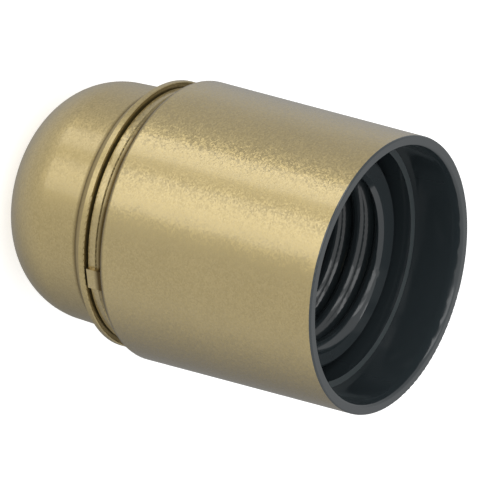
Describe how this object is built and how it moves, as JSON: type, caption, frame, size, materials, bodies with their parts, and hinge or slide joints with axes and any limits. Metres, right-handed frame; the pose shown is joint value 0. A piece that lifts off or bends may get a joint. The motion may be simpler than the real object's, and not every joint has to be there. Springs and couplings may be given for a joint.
{
  "type": "lamp holder",
  "caption": "Smooth cylindrical screw-base lamp holder with a rounded dome cap, flared collar, threaded cable entry and screw-on skirt.",
  "frame": {"origin": "centre of the dome's flat face round the cable entry", "axes": "+Z from the cable entry to the lamp mouth; +X towards the live terminal"},
  "size_m": [0.0398, 0.0398, 0.0568],
  "materials": {
    "gold_lacquer": "metallic pale gold lacquer on thermoplastic",
    "black_moulding": "satin black thermoplastic",
    "zinc_plate": "zinc-plated steel",
    "brass": "pressed brass",
    "nickel_brass": "nickel-plated turned brass",
    "spring_steel": "drawn spring wire"
  },
  "bodies": {
    "dome": {"dome_cap": "gold_lacquer", "entry_bush": "zinc_plate"},
    "lock_screw": {"bush_lock_screw": "zinc_plate"},
    "carrier": {"contact_carrier": "black_moulding", "live_contact_strip": "brass", "neutral_contact_strip": "brass", "live_rivet": "brass", "live_terminal_block": "brass", "neutral_terminal_block": "brass", "centre_contact_spring": "spring_steel"},
    "plunger": {"centre_contact": "nickel_brass"},
    "live_clamp": {"live_clamp_plate": "zinc_plate"},
    "neutral_clamp": {"neutral_clamp_plate": "zinc_plate"},
    "live_screw": {"live_terminal_screw": "zinc_plate"},
    "neutral_screw": {"neutral_terminal_screw": "zinc_plate"},
    "skirt": {"skirt": "gold_lacquer"}
  },
  "joints": [
    {"name": "carrier_lift", "type": "slide", "parent": "dome", "child": "carrier", "axis": [0, 0, 1], "range_m": [0, 0.004]},
    {"name": "skirt_turn", "type": "hinge", "parent": "carrier", "child": "skirt", "pos_m": [0, 0, 0.02], "axis": [0, 0, 1], "range_deg": [0, 720]},
    {"name": "centre_press", "type": "slide", "parent": "carrier", "child": "plunger", "axis": [0, 0, -1], "range_m": [0, 0.0015], "stiffness_N_per_m": 2000, "springref_m": -0.001, "deforming": ["centre_contact_spring"]},
    {"name": "live_clamp_slide", "type": "slide", "parent": "carrier", "child": "live_clamp", "axis": [0, 0, -1], "range_m": [0, 0.0018]},
    {"name": "live_screw_turn", "type": "hinge", "parent": "live_clamp", "child": "live_screw", "pos_m": [0.0102, 0, 0.0105], "axis": [0, 0, -1], "range_deg": [0, 1296]},
    {"name": "neutral_clamp_slide", "type": "slide", "parent": "carrier", "child": "neutral_clamp", "axis": [0, 0, -1], "range_m": [0, 0.0018]},
    {"name": "neutral_screw_turn", "type": "hinge", "parent": "neutral_clamp", "child": "neutral_screw", "pos_m": [-0.0102, 0, 0.0105], "axis": [0, 0, -1], "range_deg": [0, 1296]},
    {"name": "lock_screw_turn", "type": "hinge", "parent": "dome", "child": "lock_screw", "pos_m": [0, 0.0065, 0.0069], "axis": [0, 1, 0], "range_deg": [0, 1080]}
  ],
  "couplings": [
    {"joint": "skirt_turn", "follows": "carrier_lift", "rad_per_m": 3141.6},
    {"joint": "live_screw_turn", "follows": "live_clamp_slide", "rad_per_m": 12566},
    {"joint": "neutral_screw_turn", "follows": "neutral_clamp_slide", "rad_per_m": 12566}
  ]
}
